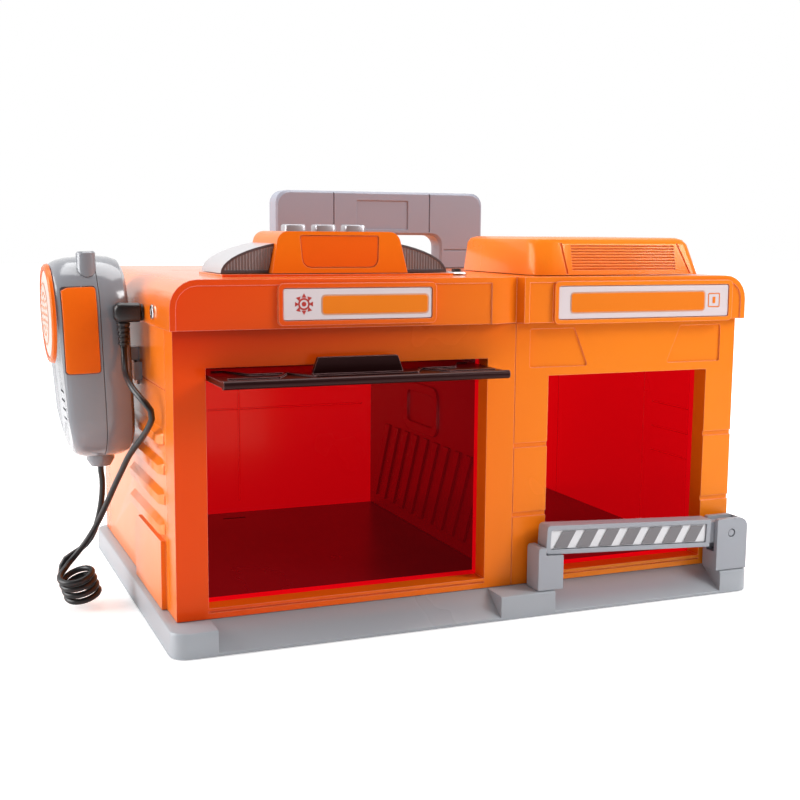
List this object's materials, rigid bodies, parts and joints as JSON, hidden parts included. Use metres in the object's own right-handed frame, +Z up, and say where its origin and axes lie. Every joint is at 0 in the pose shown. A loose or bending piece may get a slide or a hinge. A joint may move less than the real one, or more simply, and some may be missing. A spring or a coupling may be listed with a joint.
{
  "type": "toy_garage",
  "caption": "Two-bay play garage with up-and-over door, lifting gate arm, sound console with push buttons, carry handle and a wired handset with a coiled cord on the side.",
  "frame": {"origin": "centre of the base's footprint, on the face that the toy stands on", "axes": "+X to the right along the front, +Y to the rear, +Z up"},
  "size_m": [0.35, 0.23, 0.2109],
  "materials": {
    "orange_plastic": "moulded, glossy",
    "grey_plastic": "moulded, satin",
    "pale_blue_grey_plastic": "moulded, glossy",
    "dark_grey_plastic": "satin",
    "white_plastic": "glossy",
    "black_plastic": "satin",
    "smoky_lens": "clear, tinted",
    "door_plastic": "dark, slightly clear",
    "bright_metal": "polished",
    "silver_plastic": "silver paint",
    "pad_rubber": "moulded rubber",
    "board_green": "lacquered board",
    "battery_sleeve": "printed sleeve",
    "led_red": "clear red",
    "cord_black": "cord sheath"
  },
  "bodies": {
    "garage": {"aux_socket_ring": "bright_metal", "barrier_pivot_pin": "bright_metal", "barrier_post": "grey_plastic", "barrier_rest_post": "grey_plastic", "base_bottom_plate": "dark_grey_plastic", "base_tray": "grey_plastic", "battery_1": "battery_sleeve", "battery_2": "battery_sleeve", "battery_3": "battery_sleeve", "battery_box": "black_plastic", "battery_cover": "orange_plastic", "beacon_led_left": "led_red", "beacon_led_right": "led_red", "beacon_lens_left": "smoky_lens", "beacon_lens_right": "smoky_lens", "button_rubber_pad": "pad_rubber", "carry_handle": "grey_plastic", "console_housing": "orange_plastic", "console_panel": "orange_plastic", "cord_coil": "cord_black", "cord_lower": "cord_black", "cord_upper": "cord_black", "door_track_left": "dark_grey_plastic", "door_track_right": "dark_grey_plastic", "front_wall_parking": "orange_plastic", "front_wall_service": "orange_plastic", "handset_hook": "pale_blue_grey_plastic", "left_wall": "orange_plastic", "loudspeaker": "black_plastic", "mic_jack_socket": "black_plastic", "mic_plug": "black_plastic", "partition_wall": "orange_plastic", "plug_relief": "black_plastic", "plug_tip": "bright_metal", "power_switch_plate": "bright_metal", "rear_wall": "orange_plastic", "right_wall": "orange_plastic", "roof_shell": "orange_plastic", "sign_board_parking": "white_plastic", "sign_board_service": "white_plastic", "sound_board": "board_green", "vent_housing": "orange_plastic"},
    "door_carriage": {"door_rod": "bright_metal"},
    "door": {"service_door": "door_plastic"},
    "gate": {"barrier_arm": "grey_plastic", "barrier_stripe_plate": "pale_blue_grey_plastic"},
    "button_left": {"console_button_left": "silver_plastic"},
    "button_middle": {"console_button_middle": "silver_plastic"},
    "button_right": {"console_button_right": "silver_plastic"},
    "power_switch": {"power_switch_knob": "black_plastic"},
    "handset": {"handset_front_shell": "pale_blue_grey_plastic", "handset_back_shell": "grey_plastic", "handset_face_ring": "orange_plastic", "handset_speaker_disc": "white_plastic", "handset_side_grip": "orange_plastic", "handset_antenna": "grey_plastic", "handset_cord_boss": "grey_plastic", "handset_microphone": "bright_metal", "handset_clip": "pale_blue_grey_plastic"},
    "talk_button": {"handset_talk_button": "orange_plastic"}
  },
  "joints": [
    {"name": "door_run", "type": "slide", "parent": "garage", "child": "door_carriage", "axis": [0, -1, 0], "range_m": [0, 0.052]},
    {"name": "door_swing", "type": "hinge", "parent": "door_carriage", "child": "door", "pos_m": [-0.0654, -0.0185, 0.1228], "axis": [1, 0, 0], "range_deg": [0, 90]},
    {"name": "gate_lift", "type": "hinge", "parent": "garage", "child": "gate", "pos_m": [0.1425, -0.1025, 0.032], "axis": [0, 1, 0], "range_deg": [0, 75]},
    {"name": "button_left_press", "type": "slide", "parent": "garage", "child": "button_left", "axis": [0, 0, -1], "range_m": [0, 0.0015], "stiffness_N_per_m": 300, "springref_m": -0.0006},
    {"name": "button_middle_press", "type": "slide", "parent": "garage", "child": "button_middle", "axis": [0, 0, -1], "range_m": [0, 0.0015], "stiffness_N_per_m": 300, "springref_m": -0.0006},
    {"name": "button_right_press", "type": "slide", "parent": "garage", "child": "button_right", "axis": [0, 0, -1], "range_m": [0, 0.0015], "stiffness_N_per_m": 300, "springref_m": -0.0006},
    {"name": "power_switch_slide", "type": "slide", "parent": "garage", "child": "power_switch", "axis": [0, 1, 0], "range_m": [0, 0.003]},
    {"name": "handset_lift_off", "type": "slide", "parent": "garage", "child": "handset", "axis": [0, 0, 1], "range_m": [0, 0.0125]},
    {"name": "talk_button_press", "type": "slide", "parent": "handset", "child": "talk_button", "axis": [0, 1, 0], "range_m": [0, 0.0015], "stiffness_N_per_m": 300, "springref_m": -0.0006}
  ],
  "couplings": [
    {"joint": "door_swing", "follows": "door_run", "rad_per_m": 30.207}
  ]
}
